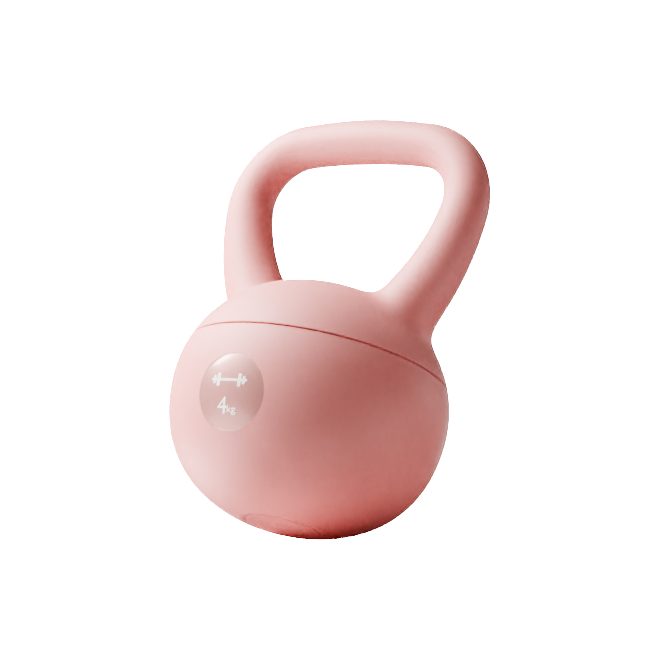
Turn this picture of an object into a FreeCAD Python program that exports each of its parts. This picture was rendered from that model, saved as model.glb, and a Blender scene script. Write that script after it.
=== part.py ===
import FreeCAD, Part
import math
import os
import Sketcher

# A soft kettlebell: a stiff hollow moulding that is both the grip and the upper dome, bonded
# into the thick collar of a soft lower shell that holds the iron sand.
# Millimetres. +Z is up, the front with the round badge looks towards -Y, and the origin is
# the middle of the face it stands on.

doc = FreeCAD.newDocument("soft_kettlebell")
sheet = doc.addObject("Spreadsheet::Sheet", "sizes")

# ---------------------------------------------------------------- driving sizes

SIZES = [
    ("ball_r", 75.0),            # widest radius of the ball
    ("upper_r", 65.5),           # side arc of the dome
    ("crown_deg", 68.0),         # where the flatter crown begins
    ("side_r", 83.0),            # arc just under the widest ring
    ("side_deg", 16.0),
    ("haunch_r", 59.3),          # arc that turns under
    ("haunch_deg", 60.4),
    ("bottom_r", 79.0),          # arc that runs into the flat base
    ("flat_rim", 1.8),           # flat of the shell left round the pad's seat
    ("seam_rise", 22.2),         # seam above the widest ring
    ("seam_gap", 0.8),
    ("seam_depth", 1.6),
    ("seam_break", 0.4),         # broken edge on both sides of the seam
    ("dome_wall", 4.5),
    ("shell_wall", 5.0),
    ("spigot_height", 14.0),     # skirt of the dome inside the shell's collar
    ("spigot_wall", 3.5),
    ("bond_gap", 0.3),
    ("bead_depth", 1.2),         # bead of the shell in the spigot's groove
    ("bead_height", 3.0),
    ("grip_rise", 154.8),        # middle of the bar above the widest ring
    ("bar_bend_r", 300.0),
    ("bar_bend_deg", 7.5),
    ("shoulder_bend_r", 35.3),
    ("shoulder_bend_deg", 90.3),
    ("leg_bend_r", 121.5),
    ("leg_bend_deg", 22.6),
    ("leg_length", 30.0),
    ("grip_mid_r", 12.5),
    ("grip_end_r", 12.1),
    ("shoulder_r", 13.1),
    ("leg_r", 16.5),
    ("root_r", 19.5),
    ("root_fillet_r", 9.0),
    ("handle_wall", 4.0),
    ("gas_hole_r", 5.0),
    ("gas_plug_length", 20.0),
    ("foam_depth", 12.4),        # foam between the iron sand and the inside of the crown
    ("pad_proud", 0.4),
    ("pad_thickness", 2.0),
    ("pad_r", 20.0),
    ("pad_clearance", 0.2),
    ("pad_glue", 0.2),
    ("floor_z", 6.0),            # inside floor of the soft shell
    ("insert_thickness", 3.0),
    ("insert_margin", 1.35),     # floor of the shell left round the insert
    ("neck_r", 11.0),
    ("neck_bore_r", 7.5),
    ("plug_head_r", 9.3),
    ("plug_head_height", 1.5),
    ("plug_clearance", 0.2),
    ("ring_section_r", 0.75),
    ("badge_r", 20.0),
    ("badge_deg", 11.5),         # how far the badge's normal points down
    ("badge_clearance", 0.25),
    ("badge_recess", 0.9),
    ("glue_thickness", 0.2),
    ("foil_thickness", 0.3),
    ("ink_thickness", 0.1),
    ("tool_length", 16.0),
]

# ---------------------------------------------------------------- sizes that follow

FOLLOWING = [
    ("side_cx", "ball_r - side_r"),
    ("side_drop", "side_r * sin(side_deg * 1deg)"),
    ("haunch_cx", "side_cx + (side_r - haunch_r) * cos(side_deg * 1deg)"),
    ("haunch_cdrop", "(side_r - haunch_r) * sin(side_deg * 1deg)"),
    ("bottom_cx", "haunch_cx + (haunch_r - bottom_r) * cos(haunch_deg * 1deg)"),
    ("bottom_cdrop", "haunch_cdrop + (haunch_r - bottom_r) * sin(haunch_deg * 1deg)"),
    ("base_flat_r", "pad_r + pad_clearance + flat_rim"),
    ("equator_z", "bottom_cdrop + sqrt(bottom_r ^ 2 - (base_flat_r - bottom_cx) ^ 2)"),
    ("upper_cx", "ball_r - upper_r"),
    ("crown_r", "upper_r + upper_cx / cos(crown_deg * 1deg)"),
    ("crown_crise", "(upper_r - crown_r) * sin(crown_deg * 1deg)"),
    ("seam_z", "equator_z + seam_rise"),
    ("seam_low_z", "seam_z - seam_gap / 2"),
    ("seam_high_z", "seam_z + seam_gap / 2"),
    ("seam_r", "upper_cx + sqrt(upper_r ^ 2 - seam_rise ^ 2)"),
    ("seam_step_r", "seam_r - seam_depth"),
    ("seam_edge_r", "seam_r - seam_break"),
    ("shell_edge_z", "seam_low_z - seam_break"),
    ("dome_edge_z", "seam_high_z + seam_break"),
    ("shell_edge_r", "upper_cx + sqrt(upper_r ^ 2 - (shell_edge_z - equator_z) ^ 2)"),
    ("dome_edge_r", "upper_cx + sqrt(upper_r ^ 2 - (dome_edge_z - equator_z) ^ 2)"),
    ("spigot_r", "seam_r - shell_wall - bond_gap"),
    ("collar_r", "spigot_r + bond_gap"),
    ("spigot_in_r", "spigot_r - spigot_wall"),
    ("spigot_z", "seam_low_z - spigot_height"),
    ("bead_r", "spigot_r - bead_depth"),
    ("bead_low_z", "spigot_z + spigot_height / 2 - bead_height / 2"),
    ("bead_high_z", "bead_low_z + bead_height"),
    ("spigot_top_z", "equator_z + sqrt((upper_r - dome_wall) ^ 2 - (spigot_in_r - upper_cx) ^ 2)"),
    ("collar_low_z", "spigot_z - shell_wall / 2"),
    ("shell_in_r", "ball_r - shell_wall"),
    ("recess_z", "pad_thickness + pad_glue"),
    ("recess_r", "pad_r + pad_clearance"),
    ("shell_base_r", "bottom_cx + sqrt(bottom_r ^ 2 - (equator_z - bottom_cdrop - pad_proud) ^ 2)"),
    ("floor_r", "bottom_cx + sqrt((bottom_r - shell_wall) ^ 2"
                " - (equator_z - bottom_cdrop - floor_z) ^ 2)"),
    ("insert_r", "floor_r - insert_margin"),
    ("insert_top_z", "floor_z + insert_thickness"),
    ("insert_wall_r", "bottom_cx + sqrt((bottom_r - shell_wall) ^ 2"
                      " - (equator_z - bottom_cdrop - insert_top_z) ^ 2)"),
    ("plug_seat_z", "recess_z + plug_head_height + plug_clearance"),
    ("plug_low_z", "recess_z + plug_clearance"),
    ("head_bore_r", "plug_head_r + plug_clearance"),
    ("stem_r", "neck_bore_r - plug_clearance"),
    ("groove_r", "neck_bore_r - 2 * ring_section_r"),
    ("ring_mid_z", "(plug_seat_z + insert_top_z) / 2"),
    ("groove_low_z", "ring_mid_z - ring_section_r"),
    ("groove_high_z", "ring_mid_z + ring_section_r"),
    ("ring_r", "neck_bore_r - ring_section_r"),
    ("fill_z", "equator_z + crown_crise + crown_r - dome_wall - foam_depth"),
    ("fill_r", "upper_cx + sqrt((upper_r - dome_wall) ^ 2 - (fill_z - equator_z) ^ 2)"),
    ("layer_low_z", "equator_z - ball_r * 0.62"),
    ("layer_high_z", "equator_z + ball_r * 0.12"),
    ("badge_x", "side_cx + side_r * cos(badge_deg * 1deg)"),
    ("badge_z", "equator_z - side_r * sin(badge_deg * 1deg)"),
]

# Surfaces that run parallel to the outside of the ball, each at its own depth.
DEPTHS = [
    ("outer", "0"),
    ("shellin", "shell_wall"),
    ("domein", "dome_wall"),
    ("recess", "badge_recess"),
    ("foil", "badge_recess - glue_thickness"),
    ("ink", "badge_recess - glue_thickness - foil_thickness"),
    ("film", "badge_recess - glue_thickness - foil_thickness - ink_thickness"),
]


def depth_cells(name, depth):
    # junction points and arc radii of the ball's outline moved inwards by a depth
    return [
        (name + "_depth", depth),
        (name + "_side_r", "side_r - " + name + "_depth"),
        (name + "_haunch_r", "haunch_r - " + name + "_depth"),
        (name + "_bottom_r", "bottom_r - " + name + "_depth"),
        (name + "_upper_r", "upper_r - " + name + "_depth"),
        (name + "_crown_r", "crown_r - " + name + "_depth"),
        (name + "_wide_r", "ball_r - " + name + "_depth"),
        (name + "_side_x", "side_cx + " + name + "_side_r * cos(side_deg * 1deg)"),
        (name + "_side_z", "equator_z - " + name + "_side_r * sin(side_deg * 1deg)"),
        (name + "_haunch_x", "haunch_cx + " + name + "_haunch_r * cos(haunch_deg * 1deg)"),
        (name + "_haunch_z", "equator_z - haunch_cdrop - " + name
         + "_haunch_r * sin(haunch_deg * 1deg)"),
        (name + "_crown_x", "upper_cx + " + name + "_upper_r * cos(crown_deg * 1deg)"),
        (name + "_crown_z", "equator_z + " + name + "_upper_r * sin(crown_deg * 1deg)"),
        (name + "_top_z", "equator_z + crown_crise + " + name + "_crown_r"),
        (name + "_low_x", "haunch_cx + sqrt(" + name + "_haunch_r ^ 2"
         " - (equator_z - haunch_cdrop - layer_low_z) ^ 2)"),
        (name + "_high_x", "upper_cx + sqrt(" + name + "_upper_r ^ 2"
         " - (layer_high_z - equator_z) ^ 2)"),
    ]


def fill_sheet():
    cells = [(name, str(value)) for name, value in SIZES]
    cells += [(name, "=" + formula) for name, formula in FOLLOWING]
    for name, depth in DEPTHS:
        cells += [(alias, "=" + formula) for alias, formula in depth_cells(name, depth)]
    for row, (alias, content) in enumerate(cells, start=1):
        sheet.set("A%d" % row, alias)
        sheet.set("B%d" % row, content)
        sheet.setAlias("B%d" % row, alias)
    doc.recompute()


def size(alias):
    value = sheet.get(alias)
    return float(getattr(value, "Value", value))


def bound(alias):
    return "sizes." + alias


# ---------------------------------------------------------------- turned bodies

def arc_between(start, end, radius, anticlockwise):
    middle = (start + end) * 0.5
    chord = end - start
    left = FreeCAD.Vector(-chord.y, chord.x, 0).normalize()
    reach = math.sqrt(max(radius ** 2 - (chord.Length / 2) ** 2, 0))
    centre = middle + left * (reach if anticlockwise else -reach)
    first, last = (start, end) if anticlockwise else (end, start)
    angles = [math.atan2(p.y - centre.y, p.x - centre.x) for p in (first, last)]
    if angles[1] < angles[0]:
        angles[1] += 2 * math.pi
    circle = Part.Circle(centre, FreeCAD.Vector(0, 0, 1), radius)
    return Part.ArcOfCircle(circle, angles[0], angles[1])


def own_plane(body, role):
    return [f for f in body.Origin.OriginFeatures if f.Role == role][0]


def draw_loop(sketch, loop):
    # loop: corners in order as (x name, z name, arc); arc is None or (radius name, anticlockwise)
    corners = []
    for across, up, arc in loop:
        corners.append(FreeCAD.Vector(size(across) if across else 0, size(up) if up else 0, 0))
    ends = []
    for index, (across, up, arc) in enumerate(loop):
        start, end = corners[index], corners[(index + 1) % len(loop)]
        if arc is None:
            sketch.addGeometry(Part.LineSegment(start, end), False)
            ends.append((1, 2))
        else:
            sketch.addGeometry(arc_between(start, end, size(arc[0]), arc[1]), False)
            ends.append((1, 2) if arc[1] else (2, 1))
    for index, (across, up, arc) in enumerate(loop):
        after = (index + 1) % len(loop)
        sketch.addConstraint(Sketcher.Constraint("Coincident", index, ends[index][1],
                                                 after, ends[after][0]))
    for index, (across, up, arc) in enumerate(loop):
        place_corner(sketch, index, ends[index][0], across, up)
        if arc is not None:
            number = sketch.addConstraint(Sketcher.Constraint("Radius", index, size(arc[0])))
            sketch.setExpression("Constraints[%d]" % number, bound(arc[0]))


def place_corner(sketch, edge, end, across, up):
    for kind, alias, axis in (("DistanceX", across, -2), ("DistanceY", up, -1)):
        if alias is None:
            sketch.addConstraint(Sketcher.Constraint("PointOnObject", edge, end, axis))
            continue
        number = sketch.addConstraint(Sketcher.Constraint(kind, -1, 1, edge, end, size(alias)))
        sketch.setExpression("Constraints[%d]" % number, bound(alias))


def turned(name, loop):
    body = doc.addObject("PartDesign::Body", name)
    sketch = body.newObject("Sketcher::SketchObject", name + "_outline")
    sketch.AttachmentSupport = [(own_plane(body, "XZ_Plane"), "")]
    sketch.MapMode = "FlatFace"
    draw_loop(sketch, loop)
    doc.recompute()
    turn = body.newObject("PartDesign::Revolution", name + "_turn")
    turn.Profile = sketch
    turn.ReferenceAxis = (sketch, ["V_Axis"])
    turn.Angle = 360
    body.Tip = turn
    doc.recompute()
    return body


def joined(kind, name, shapes):
    result = doc.addObject(kind, name)
    if kind == "Part::Cut":
        result.Base, result.Tool = shapes
    else:
        result.Shapes = shapes
    doc.recompute()
    return result


def ball_slice(name):
    # the part of a parallel ball around the badge
    return turned(name + "_ball", [
        (None, "layer_low_z", None),
        (name + "_low_x", "layer_low_z", (name + "_haunch_r", True)),
        (name + "_side_x", name + "_side_z", (name + "_side_r", True)),
        (name + "_wide_r", "equator_z", (name + "_upper_r", True)),
        (name + "_high_x", "layer_high_z", None),
        (None, "layer_high_z", None),
    ])


# ---------------------------------------------------------------- grip and dome

def handle_stations():
    # right half of the handle's middle line: x, z, turn angle, and the pair of section
    # radii to mix with the share of the second one
    pieces = [
        ("bar_bend", 2, "grip_mid_r", "grip_end_r"),
        ("shoulder_bend", 5, "grip_end_r", "shoulder_r"),
        ("leg_bend", 4, "shoulder_r", "leg_r"),
    ]
    across, up, turn = 0.0, size("equator_z") + size("grip_rise"), 0.0
    stations = [(across, up, turn, "grip_mid_r", "grip_end_r", 0.0)]
    for name, steps, first, second in pieces:
        radius = size(name + "_r")
        step = math.radians(size(name + "_deg")) / steps
        for index in range(1, steps + 1):
            across += radius * (math.sin(turn + step) - math.sin(turn))
            up -= radius * (math.cos(turn) - math.cos(turn + step))
            turn += step
            stations.append((across, up, turn, first, second, index / steps))
    for index in (1, 2):
        across += size("leg_length") / 2 * math.cos(turn)
        up -= size("leg_length") / 2 * math.sin(turn)
        stations.append((across, up, turn, "leg_r", "root_r", index / 2))
    return stations


def section_ring(name, station, side, inset):
    across, up, turn, first, second, share = station
    ring = doc.addObject("Part::Circle", name)
    ring.Radius = 10
    ring.setExpression("Radius", "%s * %.4f + %s * %.4f - %s"
                       % (bound(first), 1 - share, bound(second), share, inset))
    lean = math.degrees(math.atan2(math.cos(turn), -side * math.sin(turn)))
    upright = FreeCAD.Rotation(FreeCAD.Vector(0, 0, 1), 90)
    ring.Placement = FreeCAD.Placement(
        FreeCAD.Vector(side * across, 0, up),
        FreeCAD.Rotation(FreeCAD.Vector(0, 1, 0), lean) * upright)
    return ring


def handle_sweep(name, stations, inset):
    # one smooth skin through the section rings, from the left root over the bar to the right
    rings = []
    for index in range(len(stations) - 1, 0, -1):
        rings.append(section_ring("%s_left_%d" % (name, index), stations[index], -1, inset))
    for index, station in enumerate(stations):
        rings.append(section_ring("%s_right_%d" % (name, index), station, 1, inset))
    doc.recompute()
    sweep = doc.addObject("Part::Loft", name)
    sweep.Sections = rings
    sweep.Solid = True
    sweep.Ruled = False
    doc.recompute()
    return sweep


def leg_rod(name, side, radius, start, length):
    # a round rod on the straight part of a leg, measured from the leg's end
    across, up, turn = handle_stations()[-1][:3]
    along = FreeCAD.Vector(-side * math.cos(turn), 0, math.sin(turn))
    foot = FreeCAD.Vector(side * across, 0, up) + along * start
    rod = doc.addObject("Part::Cylinder", name)
    rod.setExpression("Radius", bound(radius))
    rod.Height = length
    rod.Placement = FreeCAD.Placement(foot, FreeCAD.Rotation(FreeCAD.Vector(0, 0, 1), along))
    return rod


def dome_block():
    return turned("dome_block", [
        ("spigot_in_r", "spigot_z", None),
        ("spigot_r", "spigot_z", None),
        ("spigot_r", "bead_low_z", None),
        ("bead_r", "bead_low_z", None),
        ("bead_r", "bead_high_z", None),
        ("spigot_r", "bead_high_z", None),
        ("spigot_r", "seam_low_z", None),
        ("seam_step_r", "seam_low_z", None),
        ("seam_step_r", "seam_high_z", None),
        ("seam_edge_r", "seam_high_z", None),
        ("dome_edge_r", "dome_edge_z", ("outer_upper_r", True)),
        ("outer_crown_x", "outer_crown_z", ("outer_crown_r", True)),
        (None, "outer_top_z", None),
        (None, "spigot_top_z", None),
        ("spigot_in_r", "spigot_top_z", None),
    ])


def dome_hollow():
    return turned("dome_hollow", [
        (None, "spigot_z", None),
        ("spigot_in_r", "spigot_z", None),
        ("spigot_in_r", "spigot_top_z", ("domein_upper_r", True)),
        ("domein_crown_x", "domein_crown_z", ("domein_crown_r", True)),
        (None, "domein_top_z", None),
    ])


def root_clearance():
    # the room below the spigot's edge, kept free when a lower grip sets its legs deeper
    room = doc.addObject("Part::Cylinder", "root_clearance")
    room.setExpression("Radius", bound("spigot_r"))
    room.setExpression("Height", bound("spigot_z"))
    return room


def root_edges(shape):
    # edges where a leg meets the dome: outside, above the seam and off the middle plane's top
    found = []
    for number, edge in enumerate(shape.Edges, start=1):
        box = edge.BoundBox
        reach = max(abs(box.XMin), abs(box.XMax))
        spans = box.YLength > 2 and box.XLength < size("ball_r")
        above = box.ZMin > size("dome_edge_z") + 0.5 and box.ZMax < size("outer_top_z")
        if above and spans and reach < size("ball_r") and on_both(shape, edge):
            found.append(number)
    return found


def on_both(shape, edge):
    # true when one neighbouring face is turned and the other is the handle's skin
    kinds = [face.Surface.TypeId for face in shape.ancestorsOfType(edge, Part.Face)]
    turned_faces = ("Part::GeomSphere", "Part::GeomToroid", "Part::GeomSurfaceOfRevolution")
    skins = [kind for kind in kinds if kind not in turned_faces]
    return len(kinds) == 2 and len(skins) == 1


def grip_and_dome():
    stations = handle_stations()
    skin = handle_sweep("handle_skin", stations, "0")
    channel = handle_sweep("handle_channel", stations[:-2], bound("handle_wall"))
    whole = joined("Part::MultiFuse", "dome_with_handle", [dome_block(), skin])
    edges = root_edges(whole.Shape)
    if edges:
        soft = doc.addObject("Part::Fillet", "soft_roots")
        soft.Base = whole
        radius = size("root_fillet_r")
        soft.Edges = [(number, radius, radius) for number in edges]
        doc.recompute()
        whole = soft
    holes = [leg_rod("gas_hole_%d" % side, side, "gas_hole_r", -10, size("leg_length") + 14)
             for side in (-1, 1)]
    hollow = dome_hollow()
    inside = joined("Part::MultiFuse", "dome_inside", [hollow, channel, root_clearance()] + holes)
    return joined("Part::Cut", "handle_dome", (whole, inside)), hollow


def gas_plugs(hollow):
    start = size("leg_length") - size("gas_plug_length")
    rods = [leg_rod("plug_rod_%d" % side, side, "gas_hole_r", start, size("gas_plug_length"))
            for side in (-1, 1)]
    pair = joined("Part::MultiFuse", "plug_rods", rods)
    return joined("Part::Cut", "channel_plugs", (pair, hollow))


# ---------------------------------------------------------------- soft shell and its filling

def shell_block():
    return turned("shell_block", [
        ("neck_r", "recess_z", None),
        ("recess_r", "recess_z", None),
        ("recess_r", "pad_proud", None),
        ("shell_base_r", "pad_proud", ("outer_bottom_r", True)),
        ("outer_haunch_x", "outer_haunch_z", ("outer_haunch_r", True)),
        ("outer_side_x", "outer_side_z", ("outer_side_r", True)),
        ("outer_wide_r", "equator_z", ("outer_upper_r", True)),
        ("shell_edge_r", "shell_edge_z", None),
        ("seam_edge_r", "seam_low_z", None),
        ("collar_r", "seam_low_z", None),
        ("collar_r", "bead_high_z", None),
        ("bead_r", "bead_high_z", None),
        ("bead_r", "bead_low_z", None),
        ("collar_r", "bead_low_z", None),
        ("collar_r", "collar_low_z", None),
        ("shellin_wide_r", "equator_z", ("shellin_side_r", False)),
        ("shellin_side_x", "shellin_side_z", ("shellin_haunch_r", False)),
        ("shellin_haunch_x", "shellin_haunch_z", ("shellin_bottom_r", False)),
        ("floor_r", "floor_z", None),
        ("neck_r", "floor_z", None),
    ])


def seam_bond():
    return turned("seam_bond", [
        ("spigot_r", "bead_high_z", None),
        ("collar_r", "bead_high_z", None),
        ("collar_r", "seam_low_z", None),
        ("spigot_r", "seam_low_z", None),
    ])


def iron_sand():
    return turned("iron_sand", [
        (None, "insert_top_z", None),
        ("insert_wall_r", "insert_top_z", ("shellin_bottom_r", True)),
        ("shellin_haunch_x", "shellin_haunch_z", ("shellin_haunch_r", True)),
        ("shellin_side_x", "shellin_side_z", ("shellin_side_r", True)),
        ("shellin_wide_r", "equator_z", None),
        ("collar_r", "collar_low_z", None),
        ("collar_r", "spigot_z", None),
        ("spigot_in_r", "spigot_z", None),
        ("spigot_in_r", "spigot_top_z", ("domein_upper_r", True)),
        ("fill_r", "fill_z", None),
        (None, "fill_z", None),
    ])


def top_foam():
    return turned("top_foam", [
        (None, "fill_z", None),
        ("fill_r", "fill_z", ("domein_upper_r", True)),
        ("domein_crown_x", "domein_crown_z", ("domein_crown_r", True)),
        (None, "domein_top_z", None),
    ])


# ---------------------------------------------------------------- base

def base_insert():
    return turned("base_insert", [
        ("head_bore_r", "recess_z", None),
        ("neck_r", "recess_z", None),
        ("neck_r", "floor_z", None),
        ("insert_r", "floor_z", None),
        ("insert_r", "insert_top_z", None),
        ("neck_bore_r", "insert_top_z", None),
        ("neck_bore_r", "plug_seat_z", None),
        ("head_bore_r", "plug_seat_z", None),
    ])


def fill_plug():
    return turned("fill_plug", [
        (None, "plug_low_z", None),
        ("plug_head_r", "plug_low_z", None),
        ("plug_head_r", "plug_seat_z", None),
        ("stem_r", "plug_seat_z", None),
        ("stem_r", "groove_low_z", None),
        ("groove_r", "groove_low_z", None),
        ("groove_r", "groove_high_z", None),
        ("stem_r", "groove_high_z", None),
        ("stem_r", "insert_top_z", None),
        (None, "insert_top_z", None),
    ])


def plug_ring():
    ring = doc.addObject("Part::Torus", "plug_o_ring")
    ring.setExpression("Radius1", bound("ring_r"))
    ring.setExpression("Radius2", bound("ring_section_r"))
    ring.setExpression("Placement.Base.z", bound("ring_mid_z"))
    doc.recompute()
    return ring


def base_pad():
    return turned("base_pad", [
        (None, None, None),
        ("pad_r", None, None),
        ("pad_r", "pad_thickness", None),
        (None, "pad_thickness", None),
    ])


def pad_adhesive():
    return turned("pad_adhesive", [
        (None, "pad_thickness", None),
        ("pad_r", "pad_thickness", None),
        ("pad_r", "recess_z", None),
        (None, "recess_z", None),
    ])


# ---------------------------------------------------------------- badge

def badge_frame():
    # local x runs to the right, y up the ball and z out of the badge
    return FreeCAD.Placement(
        FreeCAD.Vector(0, -size("badge_x"), size("badge_z")),
        FreeCAD.Rotation(FreeCAD.Vector(1, 0, 0), 90 + size("badge_deg")))


def badge_rod(name, spare):
    rod = doc.addObject("Part::Cylinder", name)
    rod.setExpression("Radius", bound("badge_r") + " + " + spare)
    rod.setExpression("Height", bound("tool_length"))
    sunk = FreeCAD.Placement(FreeCAD.Vector(0, 0, -size("tool_length") * 0.75),
                             FreeCAD.Rotation())
    rod.Placement = badge_frame().multiply(sunk)
    return rod


def stroke(name, start, end, width):
    # a straight printed stroke with square ends, as a tall bar across the badge
    run = FreeCAD.Vector(end[0] - start[0], end[1] - start[1], 0)
    bar = doc.addObject("Part::Box", name)
    bar.Length, bar.Width, bar.Height = run.Length, width, size("tool_length")
    angle = math.degrees(math.atan2(run.y, run.x))
    turn = FreeCAD.Rotation(FreeCAD.Vector(0, 0, 1), angle)
    corner = FreeCAD.Vector(start[0], start[1], 0) + turn.multVec(FreeCAD.Vector(0, -width / 2, 0))
    corner.z = -size("tool_length") * 0.75
    bar.Placement = badge_frame().multiply(FreeCAD.Placement(corner, turn))
    return bar


def printed_ring(name, centre, radius, width):
    rods = []
    for part, reach in (("out", radius + width / 2), ("in", radius - width / 2)):
        rod = doc.addObject("Part::Cylinder", name + "_" + part)
        rod.Radius = reach
        rod.Height = size("tool_length")
        seat = FreeCAD.Vector(centre[0], centre[1], -size("tool_length") * 0.75)
        rod.Placement = badge_frame().multiply(FreeCAD.Placement(seat, FreeCAD.Rotation()))
        rods.append(rod)
    return joined("Part::Cut", name, tuple(rods))


def print_strokes():
    # a plain dumb-bell sign, the figure 4 and the letters kg, all in millimetres on the badge
    unit = size("badge_r") / 20
    lines = [
        ("bell_bar", (-8.8, 6.2), (7.2, 6.2), 1.4),
        ("bell_left_big", (-7.3, 2.7), (-7.3, 9.7), 2.0),
        ("bell_right_big", (5.7, 2.7), (5.7, 9.7), 2.0),
        ("bell_left_small", (-9.9, 4.0), (-9.9, 8.4), 1.6),
        ("bell_right_small", (8.3, 4.0), (8.3, 8.4), 1.6),
        ("bell_left_end", (-11.8, 6.2), (-10.2, 6.2), 1.4),
        ("bell_right_end", (8.6, 6.2), (10.2, 6.2), 1.4),
        ("four_slant", (-5.9, -9.1), (-2.3, -2.9), 0.9),
        ("four_bar", (-6.3, -9.1), (-0.6, -9.1), 0.9),
        ("four_stem", (-2.2, -11.4), (-2.2, -2.7), 0.9),
        ("letter_k_stem", (0.4, -10.8), (0.4, -6.9), 0.5),
        ("letter_k_up", (0.5, -9.8), (1.9, -8.2), 0.5),
        ("letter_k_down", (0.9, -9.4), (2.1, -10.8), 0.5),
        ("letter_g_stem", (4.6, -11.8), (4.6, -8.2), 0.5),
        ("letter_g_foot", (2.8, -11.8), (4.8, -11.8), 0.5),
    ]
    strokes = [stroke(name, (a[0] * unit, a[1] * unit), (b[0] * unit, b[1] * unit), width * unit)
               for name, a, b, width in lines]
    strokes.append(printed_ring("letter_g_bowl", (3.6 * unit, -9.5 * unit), 1.05 * unit,
                                0.5 * unit))
    doc.recompute()
    return joined("Part::MultiFuse", "print_tool", strokes)


def badge(shell):
    balls = {name: ball_slice(name) for name in ("outer", "recess", "foil", "ink", "film")}
    disc = badge_rod("badge_disc", "0")
    wide_disc = badge_rod("badge_recess_disc", bound("badge_clearance"))
    doc.recompute()
    proud_rod = joined("Part::Cut", "recess_tool", (wide_disc, balls["recess"]))
    soft_shell = joined("Part::Cut", "soft_shell", (shell, proud_rod))

    def layer(name, outside, inside, tool):
        ring = joined("Part::Cut", name + "_layer", (balls[outside], balls[inside]))
        return joined("Part::MultiCommon", name, [ring, tool])

    glue = layer("badge_adhesive", "foil", "recess", disc)
    foil = layer("badge_base", "ink", "foil", disc)
    ink = layer("badge_print", "film", "ink", print_strokes())
    film = joined("Part::Cut", "badge_cover", (layer("film_block", "outer", "ink", disc), ink))
    return [soft_shell, glue, foil, ink, film]


# ---------------------------------------------------------------- build and write

def write(nodes):
    os.makedirs("parts", exist_ok=True)
    for item in doc.Objects:
        if "Invalid" in item.State or "Error" in item.State:
            raise RuntimeError("broken object: " + item.Name)
    for label, item in nodes:
        item.Label = label
        shape = item.Shape
        if shape.isNull() or not shape.isValid():
            raise RuntimeError("bad shape: " + label)
        print("%-16s solids %d  volume %10.1f mm3" % (label, len(shape.Solids), shape.Volume))
        shape.exportStep(os.path.join("parts", label + ".step"))


def build():
    fill_sheet()
    handle_dome, hollow = grip_and_dome()
    nodes = [("handle_dome", handle_dome), ("channel_plugs", gas_plugs(hollow))]
    soft_shell, glue, foil, ink, film = badge(shell_block())
    nodes += [("soft_shell", soft_shell), ("seam_bond", seam_bond()),
              ("iron_sand", iron_sand()), ("top_foam", top_foam()),
              ("base_insert", base_insert()), ("fill_plug", fill_plug()),
              ("plug_o_ring", plug_ring()), ("pad_adhesive", pad_adhesive()),
              ("base_pad", base_pad()), ("badge_adhesive", glue), ("badge_base", foil),
              ("badge_print", ink), ("badge_cover", film)]
    write(nodes)


build()
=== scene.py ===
import bpy
import bmesh
import math
import numpy as np
from mathutils import Matrix, Vector


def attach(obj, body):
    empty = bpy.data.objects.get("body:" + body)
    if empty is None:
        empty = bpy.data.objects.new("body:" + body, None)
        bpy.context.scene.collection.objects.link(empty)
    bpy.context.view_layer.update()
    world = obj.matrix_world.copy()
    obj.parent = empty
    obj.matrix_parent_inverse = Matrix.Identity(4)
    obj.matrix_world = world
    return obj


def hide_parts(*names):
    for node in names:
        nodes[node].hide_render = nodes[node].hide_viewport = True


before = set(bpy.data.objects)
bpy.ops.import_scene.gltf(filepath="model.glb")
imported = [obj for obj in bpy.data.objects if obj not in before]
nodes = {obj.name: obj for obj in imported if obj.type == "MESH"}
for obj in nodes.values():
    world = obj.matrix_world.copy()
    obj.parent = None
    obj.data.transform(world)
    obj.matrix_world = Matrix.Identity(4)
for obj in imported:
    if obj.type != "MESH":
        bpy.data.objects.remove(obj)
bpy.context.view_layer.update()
print("frame loaded:", len(nodes), "nodes")

# lengths in the dictionaries are millimetres, as on the part's drawing; Blender gets metres
mm = 0.001


# ---- small helpers

def hexToLinear(code, alpha=1.0):
    values = [int(code[i:i + 2], 16) / 255 for i in (0, 2, 4)]
    return [v / 12.92 if v <= 0.04045 else ((v + 0.055) / 1.055) ** 2.4 for v in values] + [alpha]


def addNode(tree, kind, settings=None, links=None):
    # one node with its settings; links: input name -> (node, output name)
    node = tree.nodes.new(kind)
    for name, value in (settings or {}).items():
        if name in node.inputs:
            node.inputs[name].default_value = value
        else:
            setattr(node, name, value)
    for name, (source, output) in (links or {}).items():
        tree.links.new(source.outputs[output], node.inputs[name])
    return node


def newMaterial(name, shader):
    material = bpy.data.materials.new(name)
    material.use_nodes = True
    tree = material.node_tree
    tree.nodes.clear()
    bsdf = addNode(tree, "ShaderNodeBsdfPrincipled", shader)
    addNode(tree, "ShaderNodeOutputMaterial", links={"Surface": (bsdf, "BSDF")})
    return material, tree, bsdf


def twoTones(tree, bsdf, pattern, light, deep):
    # base colour that wanders between two tones with a pattern
    tone = addNode(tree, "ShaderNodeMix", {"data_type": "RGBA"}, {"Factor": (pattern, "Fac")})
    tone.inputs[6].default_value = hexToLinear(light)
    tone.inputs[7].default_value = hexToLinear(deep)
    tree.links.new(tone.outputs[2], bsdf.inputs["Base Color"])


def roughnessBand(tree, bsdf, pattern, middle, spread=0.05):
    band = addNode(tree, "ShaderNodeMapRange", {"To Min": middle - spread, "To Max": middle + spread},
                   {"Value": (pattern, "Fac")})
    tree.links.new(band.outputs["Result"], bsdf.inputs["Roughness"])


def noiseOf(tree, size, detail):
    # noise whose grains have a real size in mm
    place = addNode(tree, "ShaderNodeTexCoord")
    return addNode(tree, "ShaderNodeTexNoise", {"Scale": 1 / (size * mm), "Detail": detail},
                   {"Vector": (place, "Object")})


def bumpOf(tree, bsdf, pattern, depth, strength):
    bump = addNode(tree, "ShaderNodeBump", {"Distance": depth * mm, "Strength": strength},
                   {"Height": (pattern, "Fac")})
    tree.links.new(bump.outputs["Normal"], bsdf.inputs["Normal"])


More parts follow.
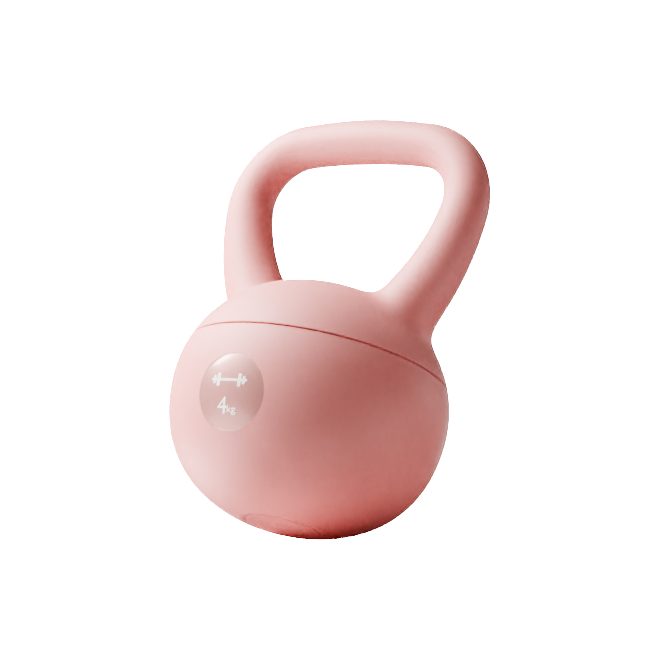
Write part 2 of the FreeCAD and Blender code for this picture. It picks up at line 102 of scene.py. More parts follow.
def meshPiece(name, points, faces, material, smooth=True):
    mesh = bpy.data.meshes.new(name)
    mesh.from_pydata([tuple(p) for p in np.asarray(points) * mm], [], [tuple(f) for f in faces])
    mesh.validate()
    mesh.polygons.foreach_set("use_smooth", [smooth] * len(mesh.polygons))
    mesh.materials.append(material)
    piece = bpy.data.objects.new(name, mesh)
    bpy.context.scene.collection.objects.link(piece)
    return piece


# ---- finishes

softTouch = {
    "pinkLight": "E9A29E",      # moulded-in pink under the lacquer
    "pinkDeep": "E29A96",       # cloud of slightly deeper tone
    "cloudSize": 45,            # size of one tone cloud
    "grain": 0.55,              # rubbery lacquer grain, drawn coarser than the real 0.05
    "grainDepth": 0.012,
    "roughness": 0.52,
    "roughnessSpread": 0.05,
    "glow": 0.12,               # light that soaks in and comes back warm
}


def softTouchPlastic(name, recipe):
    # soft-touch lacquer over moulded plastic: dry matte, with a warm edge where shade begins
    material, tree, bsdf = newMaterial(name, {
        "IOR": 1.48, "Subsurface Weight": recipe["glow"],
        "Subsurface Radius": (1.0, 0.28, 0.2), "Subsurface Scale": 6 * mm,
    })
    cloud = noiseOf(tree, recipe["cloudSize"], 2.0)
    twoTones(tree, bsdf, cloud, recipe["pinkLight"], recipe["pinkDeep"])
    grain = noiseOf(tree, recipe["grain"], 3.0)
    roughnessBand(tree, bsdf, grain, recipe["roughness"], recipe["roughnessSpread"])
    bumpOf(tree, bsdf, grain, recipe["grainDepth"], 0.35)
    return material


foil = {
    "tint": "C8928D",           # grey-pink of the film
    "tintDeep": "BF8883",
    "roughness": 0.42,
    "metal": 0.2,
    "coat": 0.14,               # roughness of the clear resin over it
    "coatWeight": 0.5,
    "brush": 0.4,               # size of one flake
}


def metallisedFilm(name, recipe):
    # vapour-metallised film under clear resin: a grey-pink satin that mirrors the lights softly
    material, tree, bsdf = newMaterial(name, {
        "Metallic": recipe["metal"], "Coat Weight": recipe["coatWeight"],
        "Coat Roughness": recipe["coat"], "Coat IOR": 1.5,
    })
    flake = noiseOf(tree, recipe["brush"], 2.0)
    twoTones(tree, bsdf, flake, recipe["tint"], recipe["tintDeep"])
    roughnessBand(tree, bsdf, flake, recipe["roughness"])
    return material


def speckled(name, light, deep, size, roughness, depth, shader=None):
    # one plain recipe for the ink and the hidden pieces: two tones in grains of a real size, with a bump
    material, tree, bsdf = newMaterial(name, shader or {})
    grain = noiseOf(tree, size, 3.0)
    twoTones(tree, bsdf, grain, light, deep)
    roughnessBand(tree, bsdf, grain, roughness)
    bumpOf(tree, bsdf, grain, depth, 0.6)
    return material


gripLacquer = softTouchPlastic("softTouchLacquerOnPolypropylene", softTouch)
shellLacquer = softTouchPlastic("softTouchLacquerOnPvc", softTouch)
foilFinish = metallisedFilm("vapourMetallisedFilm", foil)
inkFinish = speckled("screenPrintedWhiteInk", "FBF7F4", "F3ECE8", 0.3, 0.35, 0.004,
                     {"Coat Weight": 1.0, "Coat Roughness": 0.08})
hidden = {
    "iron_sand": speckled("looseIronSand", "4A4644", "1E1B1A", 0.5, 0.6, 0.15, {"Metallic": 0.5}),
    "top_foam": speckled("closedCellPeFoam", "F0EFEA", "D8D6CE", 0.8, 0.75, 0.1),
    "seam_bond": speckled("curedUrethaneAdhesive", "E2D6BE", "CFC0A4", 1.5, 0.35, 0.05),
    "channel_plugs": speckled("mouldedButylStopper", "2B2A2A", "181818", 0.4, 0.6, 0.02),
    "base_insert": speckled("mouldedNaturalPolypropylene", "E6E3DB", "DAD6CC", 2.0, 0.4, 0.01),
    "fill_plug": speckled("mouldedNaturalPolypropylenePlug", "E6E3DB", "D2CEC4", 1.5, 0.4, 0.01),
    "plug_o_ring": speckled("mouldedNitrileRing", "1C1C1E", "121213", 0.2, 0.45, 0.005),
    "pad_adhesive": speckled("acrylicTransferTape", "EFECE2", "E3DFD2", 1.0, 0.3, 0.01),
    "badge_adhesive": speckled("acrylicBadgeTape", "EFECE2", "E3DFD2", 1.0, 0.3, 0.01),
}
print("finishes made:", len(bpy.data.materials))


# ---- outline of the ball, which the dome and the soft shell share

ball = {"widest": 75, "upper": 65.5, "crownDeg": 68, "side": 83, "sideDeg": 16,
        "haunch": 59.3, "haunchDeg": 60.4, "bottom": 79, "baseFlat": 22, "seamRise": 22.2}

upperX = ball["widest"] - ball["upper"]
sideX = ball["widest"] - ball["side"]
cosS, sinS = math.cos(math.radians(ball["sideDeg"])), math.sin(math.radians(ball["sideDeg"]))
cosH, sinH = math.cos(math.radians(ball["haunchDeg"])), math.sin(math.radians(ball["haunchDeg"]))
cosC, sinC = math.cos(math.radians(ball["crownDeg"])), math.sin(math.radians(ball["crownDeg"]))
haunchX = sideX + (ball["side"] - ball["haunch"]) * cosS
haunchDrop = (ball["side"] - ball["haunch"]) * sinS
bottomX = haunchX + (ball["haunch"] - ball["bottom"]) * cosH
bottomDrop = haunchDrop + (ball["haunch"] - ball["bottom"]) * sinH
widestZ = bottomDrop + math.sqrt(ball["bottom"] ** 2 - (ball["baseFlat"] - bottomX) ** 2)
crownR = ball["upper"] + upperX / cosC
crownZ = widestZ + (ball["upper"] - crownR) * sinC
seamZ = widestZ + ball["seamRise"]


def outlinePoint(lean, depth=0.0):
    # point (radius, height) where the outline's normal leans up by this angle, moved inwards
    c, s = np.cos(lean), np.sin(lean)
    arcs = [
        (lean >= math.radians(ball["crownDeg"]), 0.0, crownZ, crownR),
        (lean >= 0, upperX, widestZ, ball["upper"]),
        (lean >= -math.radians(ball["sideDeg"]), sideX, widestZ, ball["side"]),
        (lean >= -math.radians(ball["haunchDeg"]), haunchX, widestZ - haunchDrop, ball["haunch"]),
        (True, bottomX, widestZ - bottomDrop, ball["bottom"]),
    ]
    for holds, x, z, r in arcs:
        if holds:
            return x + (r - depth) * c, z + (r - depth) * s


def ballDistance(p):
    # signed distance of points from the ball's surface, outside positive
    radius, height = np.hypot(p[:, 0], p[:, 1]), p[:, 2]
    result = np.hypot(radius, height - crownZ) - crownR
    lean = np.arctan2(height - widestZ, radius - upperX)
    result = np.where(lean < math.radians(ball["crownDeg"]),
                      np.hypot(radius - upperX, height - widestZ) - ball["upper"], result)
    lean = np.arctan2(height - widestZ, radius - sideX)
    result = np.where(lean < 0, np.hypot(radius - sideX, height - widestZ) - ball["side"], result)
    drop = height - widestZ + haunchDrop
    lean = np.arctan2(drop, radius - haunchX)
    result = np.where((lean < -math.radians(ball["sideDeg"])) & (height < widestZ),
                      np.hypot(radius - haunchX, drop) - ball["haunch"], result)
    drop = height - widestZ + bottomDrop
    lean = np.arctan2(drop, radius - bottomX)
    return np.where((lean < -math.radians(ball["haunchDeg"])) & (height < widestZ),
                    np.hypot(radius - bottomX, drop) - ball["bottom"], result)


# ---- grip and dome: one moulding, so one skin with soft roots

grip = {
    "rise": 154.8,                                    # middle of the bar above the widest ring
    "bends": [(300, 7.5), (35.3, 90.3), (121.5, 22.6)],   # radius and turn of bar, shoulder, leg
    "legLength": 30,
    "radii": [12.5, 12.1, 13.1, 16.5, 19.5],          # where bar, shoulder, leg and straight begin, and end
    "rootBlend": 13,                                  # width of the soft root where a leg meets the dome
    "cell": 1.1,                                      # facet size of the skin
    "steps": 12, "around": 24, "roughRise": 66,       # of the rough form that the skin is settled from
    "probe": 0.01,                                    # step that finds the way to the surface
}


def gripPieces():
    # arcs and the straight of the right half: kind, start along, geometry
    pieces, turn, x, z, along = [], 0.0, 0.0, widestZ + grip["rise"], 0.0
    for radius, degrees in grip["bends"]:
        sweep = math.radians(degrees)
        centre = (x - radius * math.sin(turn), z - radius * math.cos(turn))
        pieces.append(("arc", along, centre, radius, turn, sweep))
        turn += sweep
        x, z = centre[0] + radius * math.sin(turn), centre[1] + radius * math.cos(turn)
        along += radius * sweep
    pieces.append(("line", along, (x, z), grip["legLength"], turn, 0.0))
    return pieces


def gripRadius(along):
    # a smooth curve through the section radii
    starts = [piece[1] for piece in gripPieces()]
    span, value = np.array(starts + [starts[-1] + grip["legLength"]]), np.array(grip["radii"])
    step = np.diff(value) / np.diff(span)
    slope = np.concatenate([[0.0], (step[1:] + step[:-1]) / 2, [step[-1]]])
    i = np.clip(np.searchsorted(span, along) - 1, 0, len(span) - 2)
    width = span[i + 1] - span[i]
    t = np.clip((along - span[i]) / width, 0, 1)
    return ((2 * t ** 3 - 3 * t ** 2 + 1) * value[i] + (t ** 3 - 2 * t ** 2 + t) * width * slope[i]
            + (3 * t ** 2 - 2 * t ** 3) * value[i + 1] + (t ** 3 - t ** 2) * width * slope[i + 1])


def gripDistance(p):
    x, y, z = np.abs(p[:, 0]), p[:, 1], p[:, 2]
    best = np.full(len(p), 1e9)
    for kind, start, place, size, turn, sweep in gripPieces():
        if kind == "arc":
            lean = np.arctan2(x - place[0], z - place[1])
            part = np.clip(lean, turn, turn + sweep)
            nearX, nearZ = place[0] + size * np.sin(part), place[1] + size * np.cos(part)
            along = start + size * (part - turn)
        else:
            dx, dz = math.cos(turn), -math.sin(turn)
            part = np.clip((x - place[0]) * dx + (z - place[1]) * dz, 0, size)
            nearX, nearZ = place[0] + dx * part, place[1] + dz * part
            along = start + part
        reach = np.sqrt((x - nearX) ** 2 + y ** 2 + (z - nearZ) ** 2)
        best = np.minimum(best, reach - gripRadius(along))
    return best


def domeDistance(p):
    a, b = ballDistance(p), gripDistance(p)
    k = grip["rootBlend"]
    mix = np.maximum(k - np.abs(a - b), 0) / k
    return np.minimum(a, b) - mix ** 3 * k / 6


def settle(points, distance, rounds=6):
    # moves points on to the surface where distance is zero
    for turn in range(rounds):
        here = distance(points)
        slope = np.stack([(distance(points + step) - distance(points - step)) / (2 * grip["probe"])
                          for step in np.eye(3) * grip["probe"]], -1)
        slope /= np.maximum((slope ** 2).sum(1), 1e-9)[:, None]
        points = points - slope * here[:, None]
    return points


def roughGrip():
    # a coarse tube and ball that overlap, only to be remeshed into one closed skin
    bm = bmesh.new()
    rings, count, halves = [], grip["around"], []
    for kind, start, place, size, turn, sweep in gripPieces():
        for step in range(grip["steps"]):
            part = step / grip["steps"]
            if kind == "arc":
                lean = turn + sweep * part
                halves.append((place[0] + size * math.sin(lean), place[1] + size * math.cos(lean),
                               lean, start + size * sweep * part))
            else:
                halves.append((place[0] + math.cos(turn) * size * part,
                               place[1] - math.sin(turn) * size * part, turn, start + size * part))
    line = [(-x, z, -lean, along) for x, z, lean, along in halves[:0:-1]] + halves
    for x, z, lean, along in line:
        reach = float(gripRadius(np.array([along]))[0])
        ring = []
        for i in range(count):
            a = 2 * math.pi * i / count
            out = reach * math.cos(a)
            ring.append(bm.verts.new((x + out * math.sin(lean), reach * math.sin(a),
                                      z + out * math.cos(lean))))
        rings.append(ring)
    for first, second in zip(rings, rings[1:]):
        for i in range(count):
            bm.faces.new((first[i], first[(i + 1) % count], second[(i + 1) % count], second[i]))
    bm.faces.new(rings[0][::-1])
    bm.faces.new(rings[-1])
    stretch = Matrix.Diagonal((ball["widest"], ball["widest"], grip["roughRise"], 1))
    bmesh.ops.create_uvsphere(bm, u_segments=96, v_segments=64, radius=1.0,
                              matrix=Matrix.Translation((0, 0, widestZ)) @ stretch)
    bmesh.ops.recalc_face_normals(bm, faces=bm.faces)
    mesh = bpy.data.meshes.new("rough")
    bm.to_mesh(mesh)
    bm.free()
    return mesh


def gripAndDome():
    rough = bpy.data.objects.new("rough", roughGrip())
    bpy.context.scene.collection.objects.link(rough)
    remesh = rough.modifiers.new("skin", "REMESH")
    remesh.mode = "VOXEL"
    remesh.voxel_size = grip["cell"]
    remesh.use_smooth_shade = True
    skin = bpy.data.meshes.new_from_object(rough.evaluated_get(bpy.context.evaluated_depsgraph_get()))
    bpy.data.objects.remove(rough)
    bm = bmesh.new()
    bm.from_mesh(skin)
    points = settle(np.array([v.co for v in bm.verts]), domeDistance)
    for vertex, place in zip(bm.verts, points):
        vertex.co = place
    cut = seamZ + seam["turned"]          # above this the free skin, below it turned rings
    bmesh.ops.bisect_plane(bm, geom=bm.verts[:] + bm.edges[:] + bm.faces[:],
                           plane_co=(0, 0, cut), plane_no=(0, 0, 1), clear_inner=True)
    bmesh.ops.remove_doubles(bm, verts=bm.verts, dist=0.05)
    rim = [edge for edge in bm.edges if edge.is_boundary]
    lean = math.asin((cut - widestZ) / ball["upper"])
    for vertex in {v for edge in rim for v in edge.verts}:
        turn = math.atan2(vertex.co.y, vertex.co.x)
        r, z = outlinePoint(lean)
        vertex.co = (r * math.cos(turn), r * math.sin(turn), z)
    for r, z in seamLip():
        grown = bmesh.ops.extrude_edge_only(bm, edges=rim)["geom"]
        rim = [g for g in grown if isinstance(g, bmesh.types.BMEdge) and g.is_boundary]
        for vertex in [g for g in grown if isinstance(g, bmesh.types.BMVert)]:
            turn = math.atan2(vertex.co.y, vertex.co.x)
            vertex.co = (r * math.cos(turn), r * math.sin(turn), z)
    bmesh.ops.recalc_face_normals(bm, faces=bm.faces)
    for vertex in bm.verts:
        vertex.co *= mm
    for face in bm.faces:
        face.smooth = True
    bm.to_mesh(skin)
    bm.free()
    skin.materials.clear()
    skin.materials.append(gripLacquer)
    piece = bpy.data.objects.new("gripAndDome", skin)
    bpy.context.scene.collection.objects.link(piece)
    return piece


seam = {
    "gap": 0.8, "depth": 1.6, "edgeRound": 0.4,
    "spigot": 65.8,             # radius of the dome's skirt behind the seam
    "turned": 3.0,              # height of the turned rings above the seam
    "rows": (2.0, 1.3, 1.1),    # and where they lie
}


def seamLip():
    # the dome's lower edge: last of the ball, a rounded corner, then in and down behind the seam
    top = seamZ + seam["gap"] / 2
    r0 = seam["edgeRound"]
    steps = [outlinePoint(math.asin((seamZ + z - widestZ) / ball["upper"])) for z in seam["rows"]]
    edge = outlinePoint(math.asin((top + r0 - widestZ) / ball["upper"]))[0]
    steps += [(edge - r0 + r0 * math.cos(a), top + r0 - r0 * math.sin(a))
              for a in np.linspace(0, math.pi / 2, 6)]
    inside = edge - seam["depth"]
    return steps + [(edge - r0 - 0.3, top), (inside, top), (inside, top - seam["gap"] * 1.2)]


# ---- soft shell: a turned skin with a round seat let in for the badge

badge = {
    "radius": 20.0,
    "face": 20.15,              # visible face, which nearly fills its seat
    "leanDeg": 11.5,            # it looks down by this much
    "clearance": 0.2, "seatDepth": 0.9,
    "sheetDepth": 0.05,         # face below the ball's surface
    "edgeDrop": 0.1, "edgeWidth": 0.15,
    "rings": 24, "spokes": 160,
}
badgeTilt = math.radians(badge["leanDeg"])
badgeCentre = np.array([0, -(sideX + ball["side"] * math.cos(badgeTilt)),
                        widestZ - ball["side"] * math.sin(badgeTilt)])
badgeRight = np.array([1.0, 0, 0])
badgeUp = np.array([0, -math.sin(badgeTilt), math.cos(badgeTilt)])
badgeOut = np.array([0, -math.cos(badgeTilt), -math.sin(badgeTilt)])


def onBadge(flat, depth):
    # points on the ball under the badge's own x and y, at a depth below the surface
    flat = np.asarray(flat, float)
    depth = np.broadcast_to(np.asarray(depth, float), (len(flat),))
    base = badgeCentre + flat[:, :1] * badgeRight + flat[:, 1:2] * badgeUp
    rise = np.zeros(len(flat))
    for turn in range(12):
        rise -= ballDistance(base + rise[:, None] * badgeOut) + depth
    return base + rise[:, None] * badgeOut


shell = {
    "columns": 276, "rowStep": 1.6,
    "block": 32, "rings": 7,            # facets left out round the badge, and the rings that fill them
    "padSeat": 20.12, "padProud": 0.2, "padSeatDepth": 2.2,
}


def shellRows():
    # leans of the outline's normal from the seam down to the base, about evenly spaced
    low = -math.acos((ball["baseFlat"] + 0.9 - bottomX) / ball["bottom"])
    high = math.asin((seamZ - seam["gap"] / 2 - seam["edgeRound"] - widestZ) / ball["upper"])
    fine = np.linspace(high, low, 2000)
    line = np.array([outlinePoint(a) for a in fine])
    along = np.concatenate([[0], np.cumsum(np.hypot(*np.diff(line, axis=0).T))])
    count = int(round(along[-1] / shell["rowStep"]))
    return np.interp(np.linspace(0, along[-1], count + 1), along, fine)


def softShell():
    columns, block = shell["columns"], shell["block"]
    leans = shellRows()
    middle = int(np.argmin(np.abs(leans + badgeTilt)))
    firstRow, lastRow = middle - block // 2, middle + block // 2
    front = 3 * columns // 4                      # the column that looks towards the front
    firstCol, lastCol = front - block // 2, front + block // 2
    points, faces = [], []

    def place(lean, turn):
        r, z = outlinePoint(lean)
        return (r * math.cos(turn), r * math.sin(turn), z)

    def turnOf(column):
        return 2 * math.pi * column / columns

    index = {}
    for row, lean in enumerate(leans):
        for column in range(columns):
            if firstRow < row < lastRow and firstCol < column < lastCol:
                continue
            index[row, column] = len(points)
            points.append(place(lean, turnOf(column)))
    for row in range(len(leans) - 1):
        for column in range(columns):
            if firstRow <= row < lastRow and firstCol <= column < lastCol:
                continue
            after = (column + 1) % columns
            faces.append((index[row, column], index[row, after],
                          index[row + 1, after], index[row + 1, column]))

    # rim of the block, and the rings that lead from it to the round seat
    loop = ([(firstRow, c) for c in range(firstCol, lastCol)]
            + [(r, lastCol) for r in range(firstRow, lastRow)]
            + [(lastRow, c) for c in range(lastCol, firstCol, -1)]
            + [(r, firstCol) for r in range(lastRow, firstRow, -1)])
    seat = badge["radius"] + badge["clearance"]
    outer = [(leans[row], turnOf(column)) for row, column in loop]
    spread = np.array([place(*o) for o in outer]) - badgeCentre
    bearing = np.arctan2(spread @ badgeUp, spread @ badgeRight)
    seatLine = onBadge(np.stack([seat * np.cos(bearing), seat * np.sin(bearing)], -1), 0.0)
    innerLean = np.interp(seatLine[:, 2], [place(a, 0)[2] for a in leans[::-1]], leans[::-1])
    innerTurn = np.arctan2(seatLine[:, 1], seatLine[:, 0]) % (2 * math.pi)
    before = [index[key] for key in loop]
    count = len(loop)
    # the last share but one lies close to the seat and keeps its edge crisp
    for share in [ring / shell["rings"] for ring in range(1, shell["rings"])] + [0.98, 1.0]:
        fresh = []
        for k in range(count):
            lean = outer[k][0] * (1 - share) + innerLean[k] * share
            turn = outer[k][1] * (1 - share) + innerTurn[k] * share
            fresh.append(len(points))
            points.append(tuple(seatLine[k]) if share == 1.0 else place(lean, turn))
        for k in range(count):
            n = (k + 1) % count
            faces.append((before[k], before[n], fresh[n], fresh[k]))
        before = fresh
    for shrink, depth in ((0.05, 0.06), (0.1, 0.2), (0.12, badge["seatDepth"])):   # wall of the seat
        reach = seat - shrink
        wall = onBadge(np.stack([reach * np.cos(bearing), reach * np.sin(bearing)], -1), depth)
        fresh = list(range(len(points), len(points) + count))
        points += [tuple(p) for p in wall]
        for k in range(count):
            n = (k + 1) % count
            faces.append((before[k], before[n], fresh[n], fresh[k]))
        before = fresh

    def turnedRings(start, line, flip):
        ring = start
        for r, z in line:
            fresh = list(range(len(points), len(points) + columns))
            points.extend((r * math.cos(turnOf(c)), r * math.sin(turnOf(c)), z) for c in range(columns))
            for c in range(columns):
                n = (c + 1) % columns
                face = (ring[c], ring[n], fresh[n], fresh[c])
                faces.append(face[::-1] if flip else face)
            ring = fresh

    r0 = seam["edgeRound"]
    low = seamZ - seam["gap"] / 2
    edge = outlinePoint(leans[0])[0]
    corner = [(edge - r0 + r0 * math.cos(a), low - r0 + r0 * math.sin(a))
              for a in np.linspace(0, math.pi / 2, 6)[1:]]
    turnedRings([index[0, c] for c in range(columns)], corner + [(seam["spigot"], low)], True)
    base = outlinePoint(leans[-1])
    seatR, proud = shell["padSeat"], shell["padProud"]
    heel = [(base[0] - 0.6, base[1] - 0.08), (seatR + 0.25, proud), (seatR + 0.06, proud + 0.04),
            (seatR, proud + 0.35), (seatR, shell["padSeatDepth"]), (0.5, shell["padSeatDepth"])]
    turnedRings([index[len(leans) - 1, c] for c in range(columns)], heel, False)
    return meshPiece("softShell", points, faces, shellLacquer)


# ---- base pad: a moulded disc with a broken edge and one shallow ring

pad = {
    "radius": 20.0, "thickness": 2.0, "edge": 0.12, "middle": 4.0, "columns": 144,
    "ring": 6.0, "ringWidth": 0.8, "ringDepth": 0.06,
}


def basePad():
    half, deep, e = pad["ringWidth"] / 2, pad["ringDepth"], pad["edge"]
    line = [(0.0, 0.0), (pad["middle"], 0.0), (pad["ring"] - half, 0.0), (pad["ring"] - half / 2, deep),
            (pad["ring"] + half / 2, deep), (pad["ring"] + half, 0.0)]
    line += [(pad["radius"] - e + e * math.sin(a), e - e * math.cos(a))
             for a in np.linspace(0, math.pi / 2, 6)]
    line += [(pad["radius"], pad["thickness"]), (0.0, pad["thickness"])]
    count = pad["columns"]
    points, faces, rings = [], [], []
    for r, z in line:
        if r == 0:
            rings.append([len(points)] * count)
            points.append((0, 0, z))
            continue
        rings.append(list(range(len(points), len(points) + count)))
        points += [(r * math.cos(2 * math.pi * i / count), r * math.sin(2 * math.pi * i / count), z)
                   for i in range(count)]
    for first, second in zip(rings, rings[1:]):
        for i in range(count):
            n = (i + 1) % count
            face = [first[n], first[i], second[i], second[n]]
            faces.append(list(dict.fromkeys(face)))
    return meshPiece("basePad", points, faces, shellLacquer)


# ---- badge: metallised carrier under its clear face, and the print

def badgeCarrier():
    # a disc that follows the ball and rolls down at its edge
    rings, spokes, radius = badge["rings"], badge["spokes"], badge["face"]
    flat, faces = [(0.0, 0.0)], []
    radii = [radius * (i / rings) for i in range(1, rings)] + [radius - 0.25, radius - 0.1, radius]
    for r in radii:
        flat += [(r * math.cos(2 * math.pi * i / spokes), r * math.sin(2 * math.pi * i / spokes))
                 for i in range(spokes)]
    reach = np.hypot(*np.array(flat).T)
    roll = np.clip((reach - radius + badge["edgeWidth"]) / badge["edgeWidth"], 0, 1) ** 2
    points = onBadge(flat, badge["sheetDepth"] + badge["edgeDrop"] * roll)
    for i in range(spokes):
        faces.append((0, 1 + i, 1 + (i + 1) % spokes))
    for ring in range(len(radii) - 1):
        a, b = 1 + ring * spokes, 1 + (ring + 1) * spokes
        for i in range(spokes):
            n = (i + 1) % spokes
            faces.append((a + i, b + i, b + n, a + n))
    return meshPiece("badgeCarrier", points, faces, foilFinish)


printing = {
    "four": {"text": "4", "height": 8.8, "width": 5.8, "at": (-6.3, -11.4)},      # lower left corner
    "unit": {"text": "kg", "height": 4.9, "width": 5.2, "at": (-0.1, -11.8)},
    # a plain dumb-bell sign: bar, plates and ends as x0, y0, x1, y1
    "bars": [(-11.8, 5.5, 10.2, 6.9), (-8.3, 2.7, -6.3, 9.7), (4.7, 2.7, 6.7, 9.7),
             (-10.7, 4.0, -9.1, 8.4), (7.5, 4.0, 9.1, 8.4)],
    "cornerRound": 0.6, "facet": 0.7, "top": 0.01, "thickness": 0.05,
}


def letters(entry):
    curve = bpy.data.curves.new("letters", "FONT")
    curve.body = entry["text"]
    curve.resolution_u = 6
    holder = bpy.data.objects.new("letters", curve)
    bpy.context.scene.collection.objects.link(holder)
    bpy.context.view_layer.update()
    mesh = bpy.data.meshes.new_from_object(holder)
    flat = np.array([v.co[:2] for v in mesh.vertices])
    faces = [tuple(p.vertices) for p in mesh.polygons]
    bpy.data.objects.remove(holder)
    low, high = flat.min(0), flat.max(0)
    return (flat - low) / (high - low) * (entry["width"], entry["height"]) + entry["at"], faces


def roundedBar(x0, y0, x1, y1):
    r = min(printing["cornerRound"], (x1 - x0) / 2.01, (y1 - y0) / 2.01)
    flat = []
    corners = ((x1 - r, y1 - r, 0), (x0 + r, y1 - r, 90), (x0 + r, y0 + r, 180), (x1 - r, y0 + r, 270))
    for cx, cy, start in corners:
        for a in np.radians(np.linspace(start, start + 90, 6)):
            flat.append((cx + r * math.cos(a), cy + r * math.sin(a)))
    return flat, [tuple(range(len(flat)))]


def badgePrint():
    # flat shapes cut into small facets, given a thickness and laid on the ball
    bm = bmesh.new()
    shapes = [letters(printing["four"]), letters(printing["unit"])]
    shapes += [roundedBar(*bar) for bar in printing["bars"]]
    for flat, polygons in shapes:
        corners = [bm.verts.new((x, y, 0)) for x, y in flat]
        for polygon in polygons:
            bm.faces.new([corners[i] for i in polygon])
    bmesh.ops.triangulate(bm, faces=bm.faces[:])
    for turn in range(6):
        long = [e for e in bm.edges if e.calc_length() > printing["facet"]]
        if long:
            bmesh.ops.subdivide_edges(bm, edges=long, cuts=1)
            bmesh.ops.triangulate(bm, faces=bm.faces[:])
    grown = bmesh.ops.extrude_face_region(bm, geom=bm.faces[:])["geom"]
    for vertex in [g for g in grown if isinstance(g, bmesh.types.BMVert)]:
        vertex.co.z = -printing["thickness"]
    bmesh.ops.recalc_face_normals(bm, faces=bm.faces[:])
    flat = np.array([v.co[:] for v in bm.verts])
    bm.verts.index_update()
    faces = [tuple(v.index for v in face.verts) for face in bm.faces]
    bm.free()
    laid = onBadge(flat[:, :2], printing["top"] - flat[:, 2])
    return meshPiece("badgePrint", laid, faces, inkFinish, False)


dome = gripAndDome()
print("grip and dome:", len(dome.data.polygons), "faces")
lower = softShell()
print("soft shell:", len(lower.data.polygons), "faces")
carrier = badgeCarrier()
ink = badgePrint()
foot = basePad()
print("badge and pad:", sum(len(piece.data.polygons) for piece in (carrier, ink, foot)), "faces")

for piece, replaced, slotName in ((dome, "handle_dome", "grip_plastic"), (lower, "soft_shell", "soft_pvc"),
                                  (carrier, "badge_base", "metal_film"), (ink, "badge_print", "white_ink"),
                                  (foot, "base_pad", "pad_rubber")):
    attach(piece, "root")
    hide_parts(replaced)
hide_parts("badge_cover")

for name, material in hidden.items():
    nodes[name].data.materials.clear()
    nodes[name].data.materials.append(material)


# ---- stage, lights and camera

view = {"aim": (-0.016, 0.0255, 0.12), "azimuthDeg": 35.3, "elevationDeg": -16.3,
        "rollDeg": 12.8, "distance": 1.5, "lens": 148.5}


def cameraAxes():
    a, e, roll = (math.radians(view[k]) for k in ("azimuthDeg", "elevationDeg", "rollDeg"))
    back = Vector((math.sin(a) * math.cos(e), -math.cos(a) * math.cos(e), math.sin(e)))
    right = Vector((math.cos(a), math.sin(a), 0))
    up = back.cross(right)
    return right * math.cos(roll) + up * math.sin(roll), up * math.cos(roll) - right * math.sin(roll), back


viewRight, viewUp, viewBack = cameraAxes()
cameraData = bpy.data.cameras.new("camera")
cameraData.lens, cameraData.sensor_width = view["lens"], 36
camera = bpy.data.objects.new("camera", cameraData)
camera.matrix_world = Matrix.Translation(Vector(view["aim"]) + viewBack * view["distance"]) @ Matrix(
    (viewRight, viewUp, viewBack)).transposed().to_4x4()
bpy.context.scene.collection.objects.link(camera)
bpy.context.scene.camera = camera

# lamps stand round the part as seen from the camera: right, up, towards the camera
# strength is set as on a studio pack: one key, and each other lamp in half stops below it
key = {"watts": 18, "white": "FFFFFF", "rose": "FFE6E6", "centre": (0, 0, 0.1), "distance": 1.0}
lamps = {
    "topLeftKey": {"from": (-0.6, 0.8, 0.0), "size": 0.8, "stops": 0, "gel": "white"},
    "lowLeftSoftbox": {"from": (-0.8, -0.6, 0.1), "size": 0.6, "stops": 1, "gel": "rose"},
    "lowBackKicker": {"from": (-0.7, -0.5, -0.5), "size": 0.5, "stops": 1.5, "gel": "rose"},
    "leftFrontSoftbox": {"from": (-0.85, -0.3, 0.4), "size": 0.8, "stops": 2, "gel": "white"},
    "backTopSoftbox": {"from": (-0.6, 0.6, -0.5), "size": 0.6, "stops": 2, "gel": "white"},
    "lowFrontFill": {"from": (0.1, -0.6, 0.8), "size": 0.7, "stops": 2, "gel": "rose"},
    "rightFill": {"from": (0.8, -0.2, 0.5), "size": 0.7, "stops": 2.5, "gel": "rose"},
    "farSideFill": {"from": (0.3, -0.2, -0.9), "size": 0.7, "stops": 3, "gel": "white"},
    "rightRim": {"from": (0.9, 0.1, -0.4), "size": 0.5, "stops": 4, "gel": "white"},
    # narrow strip mirrored as a slanting streak in the badge
    "badgeStrip": {"from": (-0.86, 0.48, 0.1), "size": 0.05, "length": 0.36, "toward": (-0.1, -0.2, -0.2),
                   "stops": 2.5, "gel": "white"},
}


def addLamp(name, setting):
    lamp = bpy.data.lights.new(name, "AREA")
    lamp.shape, lamp.size = "ELLIPSE", setting["size"]
    lamp.size_y = setting.get("length", setting["size"])
    lamp.energy = key["watts"] / 2 ** setting["stops"]
    lamp.color = hexToLinear(key[setting["gel"]])[:3]
    holder = bpy.data.objects.new(name, lamp)
    r, u, b = setting["from"]
    away = (viewRight * r + viewUp * u + viewBack * b).normalized()
    holder.location = Vector(key["centre"]) + away * key["distance"]
    r, u, b = setting.get("toward", (0, 1, 0))
    side = (viewRight * r + viewUp * u + viewBack * b).cross(away).normalized()
    turned = Matrix((side, away.cross(side), away)).transposed()
    holder.rotation_mode = "QUATERNION"
    holder.rotation_quaternion = turned.to_quaternion()
    holder.visible_camera = False
    bpy.context.scene.collection.objects.link(holder)


for name, setting in lamps.items():
    addLamp(name, setting)

studio = {"backdrop": 30.0, "ambient": 0.03}    # white as the camera sees it, and what it gives the part

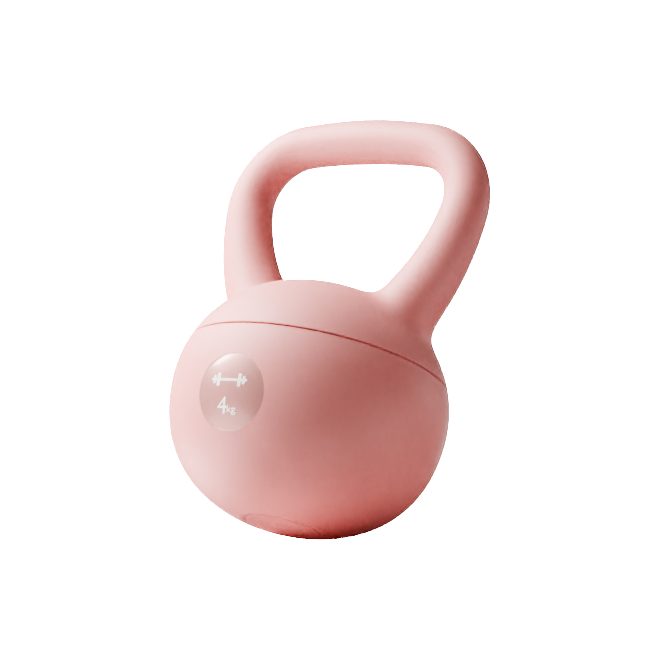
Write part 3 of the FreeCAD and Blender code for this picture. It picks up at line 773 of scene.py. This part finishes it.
world = bpy.data.worlds.new("studio")
world.use_nodes = True
bpy.context.scene.world = world
worldTree = world.node_tree
worldTree.nodes.clear()
seen = addNode(worldTree, "ShaderNodeBackground", {"Color": (1, 1, 1, 1), "Strength": studio["backdrop"]})
ambient = addNode(worldTree, "ShaderNodeBackground", {"Color": (1, 1, 1, 1), "Strength": studio["ambient"]})
rays = addNode(worldTree, "ShaderNodeLightPath")
both = addNode(worldTree, "ShaderNodeMixShader", links={"Fac": (rays, "Is Camera Ray")})
worldTree.links.new(ambient.outputs[0], both.inputs[1])
worldTree.links.new(seen.outputs[0], both.inputs[2])
addNode(worldTree, "ShaderNodeOutputWorld", links={"Surface": (both, "Shader")})

bpy.context.scene.view_settings.view_transform = "AgX"
bpy.context.scene.view_settings.look = "AgX - Very High Contrast"


# ---- rose card: held just under the tipped ball, it gives the deep red shade of its lower edge

card = {"colour": "D9A09A", "tiltDeg": 8, "gap": 1.0, "left": -35, "right": 130, "reach": 100}


def roseCard():
    material, tree, bsdf = newMaterial("roseMountBoard", {
        "Roughness": 0.8, "Base Color": hexToLinear(card["colour"])})
    tilt = math.radians(card["tiltDeg"])
    up = (viewUp * math.cos(tilt) + viewBack * math.sin(tilt)).normalized()
    along = viewRight.cross(up).normalized()
    lowest = min((v.co for v in lower.data.vertices), key=lambda place: place.dot(up))
    corners = [lowest - up * card["gap"] * mm + viewRight * a * mm + along * b * mm
               for a, b in ((card["left"], -card["reach"]), (card["right"], -card["reach"]),
                            (card["right"], card["reach"]), (card["left"], card["reach"]))]
    board = meshPiece("roseCard", np.array(corners) / mm, [(0, 1, 2, 3)], material, False)
    board.visible_camera = False


roseCard()


# ---- floor: well below, because the part is looked at from underneath

floorSheet = {"level": -0.6, "half": 4000, "mottle": 125, "light": "F4F2F0", "deep": "EFEDEB", "glow": 2.0}


def paleFloor():
    material, tree, bsdf = newMaterial("paintedStudioFloor", {
        "Roughness": 0.7, "Emission Strength": floorSheet["glow"], "Emission Color": (1, 1, 1, 1)})
    twoTones(tree, bsdf, noiseOf(tree, floorSheet["mottle"], 2.0), floorSheet["light"], floorSheet["deep"])
    half = floorSheet["half"]
    corners = [(-half, -half, 0), (half, -half, 0), (half, half, 0), (-half, half, 0)]
    floor = meshPiece("floor", corners, [(0, 1, 2, 3)], material, False)
    floor.location.z = floorSheet["level"]
    floor.visible_diffuse = False
    floor.visible_glossy = False


paleFloor()
